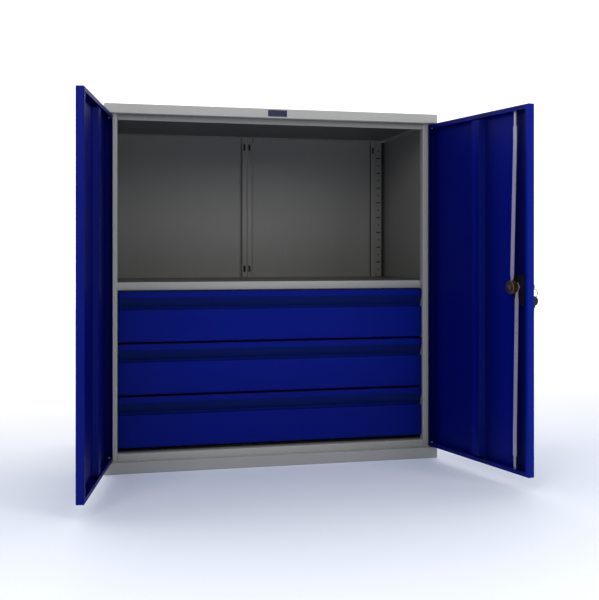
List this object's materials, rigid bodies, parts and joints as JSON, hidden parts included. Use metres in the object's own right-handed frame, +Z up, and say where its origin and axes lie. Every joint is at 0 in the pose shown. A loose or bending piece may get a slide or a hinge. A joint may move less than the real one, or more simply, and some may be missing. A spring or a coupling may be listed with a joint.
{
  "type": "tool cabinet with doors",
  "caption": "Low folded-steel tool cabinet with two hinged doors, an open upper compartment over a shelf, flush-pull drawers on telescopic slides and a rod lock with keys.",
  "frame": {"origin": "on the ground, midway across the plinth's front foot flange, in the plane of the door pivots", "axes": "+X to the right seen from the front, +Y to the rear, +Z up"},
  "size_m": [1.1684, 0.9431, 1],
  "materials": {
    "grey_paint": "light grey powder coat, satin",
    "inner_grey": "light grey powder coat, satin",
    "blue_paint": "blue powder coat, satin",
    "zinc_steel": "zinc plated steel",
    "cage_steel": "zinc plated steel",
    "lock_brass": "dull brass",
    "dark_plate": "black zinc",
    "black_plastic": "black moulded plastic",
    "label_blue": "dark blue enamel, bare"
  },
  "bodies": {
    "carcass": {"top_panel": "grey_paint", "ceiling_panel": "inner_grey", "plinth_frame": "grey_paint", "floor_panel": "grey_paint", "left_side_panel": "grey_paint", "right_side_panel": "grey_paint", "left_back_panel": "inner_grey", "right_back_panel": "inner_grey", "mid_shelf": "grey_paint", "shelf_clips": "zinc_steel", "hinge_pins": "zinc_steel", "label_plate": "label_blue", "slide_channels_1": "zinc_steel", "slide_channels_2": "zinc_steel", "slide_channels_3": "zinc_steel", "outer_slides_1": "zinc_steel", "outer_slides_2": "zinc_steel", "outer_slides_3": "zinc_steel"},
    "left_door": {"left_door_panel": "blue_paint", "left_door_stiffener": "blue_paint", "left_door_bushes": "black_plastic"},
    "right_door": {"right_door_panel": "blue_paint", "right_door_stiffener": "blue_paint", "right_door_bushes": "black_plastic", "lock_plate": "dark_plate", "lock_housing": "zinc_steel", "lock_nut": "zinc_steel"},
    "lock": {"lock_core": "lock_brass", "lock_cam": "lock_brass", "cam_screw": "zinc_steel", "door_key": "zinc_steel"},
    "upper_bolt": {"upper_rod": "zinc_steel"},
    "lower_bolt": {"lower_rod": "zinc_steel"},
    "keys": {"key_ring": "zinc_steel", "spare_key": "zinc_steel", "spare_key_bow": "black_plastic"},
    "drawer_1": {"drawer_tray_1": "grey_paint", "drawer_front_1": "blue_paint", "inner_slides_1": "zinc_steel"},
    "slide_1": {"middle_slides_1": "zinc_steel", "ball_cages_1": "cage_steel"},
    "drawer_2": {"drawer_tray_2": "grey_paint", "drawer_front_2": "blue_paint", "inner_slides_2": "zinc_steel"},
    "slide_2": {"middle_slides_2": "zinc_steel", "ball_cages_2": "cage_steel"},
    "drawer_3": {"drawer_tray_3": "grey_paint", "drawer_front_3": "blue_paint", "inner_slides_3": "zinc_steel"},
    "slide_3": {"middle_slides_3": "zinc_steel", "ball_cages_3": "cage_steel"}
  },
  "joints": [
    {"name": "left_door_hinge", "type": "hinge", "parent": "carcass", "child": "left_door", "pos_m": [-0.462, 0, 0.5], "axis": [0, 0, -1], "range_deg": [-100.2, 9.8]},
    {"name": "right_door_hinge", "type": "hinge", "parent": "carcass", "child": "right_door", "pos_m": [0.462, 0, 0.5], "axis": [0, 0, 1], "range_deg": [-101.8, 8.2]},
    {"name": "lock_turn", "type": "hinge", "parent": "right_door", "child": "lock", "pos_m": [0.55175, -0.38069, 0.509], "axis": [0.9789, 0.2045, 0], "range_deg": [0, 90]},
    {"name": "upper_rod_pin", "type": "hinge", "parent": "lock", "child": "upper_bolt", "pos_m": [0.53981, -0.37246, 0.509], "axis": [0.9789, 0.2045, 0], "range_deg": [-91.5, 0]},
    {"name": "lower_rod_pin", "type": "hinge", "parent": "lock", "child": "lower_bolt", "pos_m": [0.5441, -0.39302, 0.509], "axis": [0.9789, 0.2045, 0], "range_deg": [-91.5, 0]},
    {"name": "key_ring_swing", "type": "hinge", "parent": "lock", "child": "keys", "pos_m": [0.6002, -0.37057, 0.5058], "axis": [0.2045, -0.9789, 0], "range_deg": [-15, 90]},
    {"name": "drawer_1_slide", "type": "slide", "parent": "carcass", "child": "drawer_1", "axis": [0, -1, 0], "range_m": [0, 0.35]},
    {"name": "slide_1_travel", "type": "slide", "parent": "carcass", "child": "slide_1", "axis": [0, -1, 0], "range_m": [0, 0.175]},
    {"name": "drawer_2_slide", "type": "slide", "parent": "carcass", "child": "drawer_2", "axis": [0, -1, 0], "range_m": [0, 0.35]},
    {"name": "slide_2_travel", "type": "slide", "parent": "carcass", "child": "slide_2", "axis": [0, -1, 0], "range_m": [0, 0.175]},
    {"name": "drawer_3_slide", "type": "slide", "parent": "carcass", "child": "drawer_3", "axis": [0, -1, 0], "range_m": [0, 0.35]},
    {"name": "slide_3_travel", "type": "slide", "parent": "carcass", "child": "slide_3", "axis": [0, -1, 0], "range_m": [0, 0.175]}
  ],
  "couplings": [
    {"joint": "upper_rod_pin", "follows": "lock_turn", "ratio": -1.0148},
    {"joint": "lower_rod_pin", "follows": "lock_turn", "ratio": -1.0144},
    {"joint": "slide_1_travel", "follows": "drawer_1_slide", "ratio": 0.5},
    {"joint": "slide_2_travel", "follows": "drawer_2_slide", "ratio": 0.5},
    {"joint": "slide_3_travel", "follows": "drawer_3_slide", "ratio": 0.5}
  ]
}
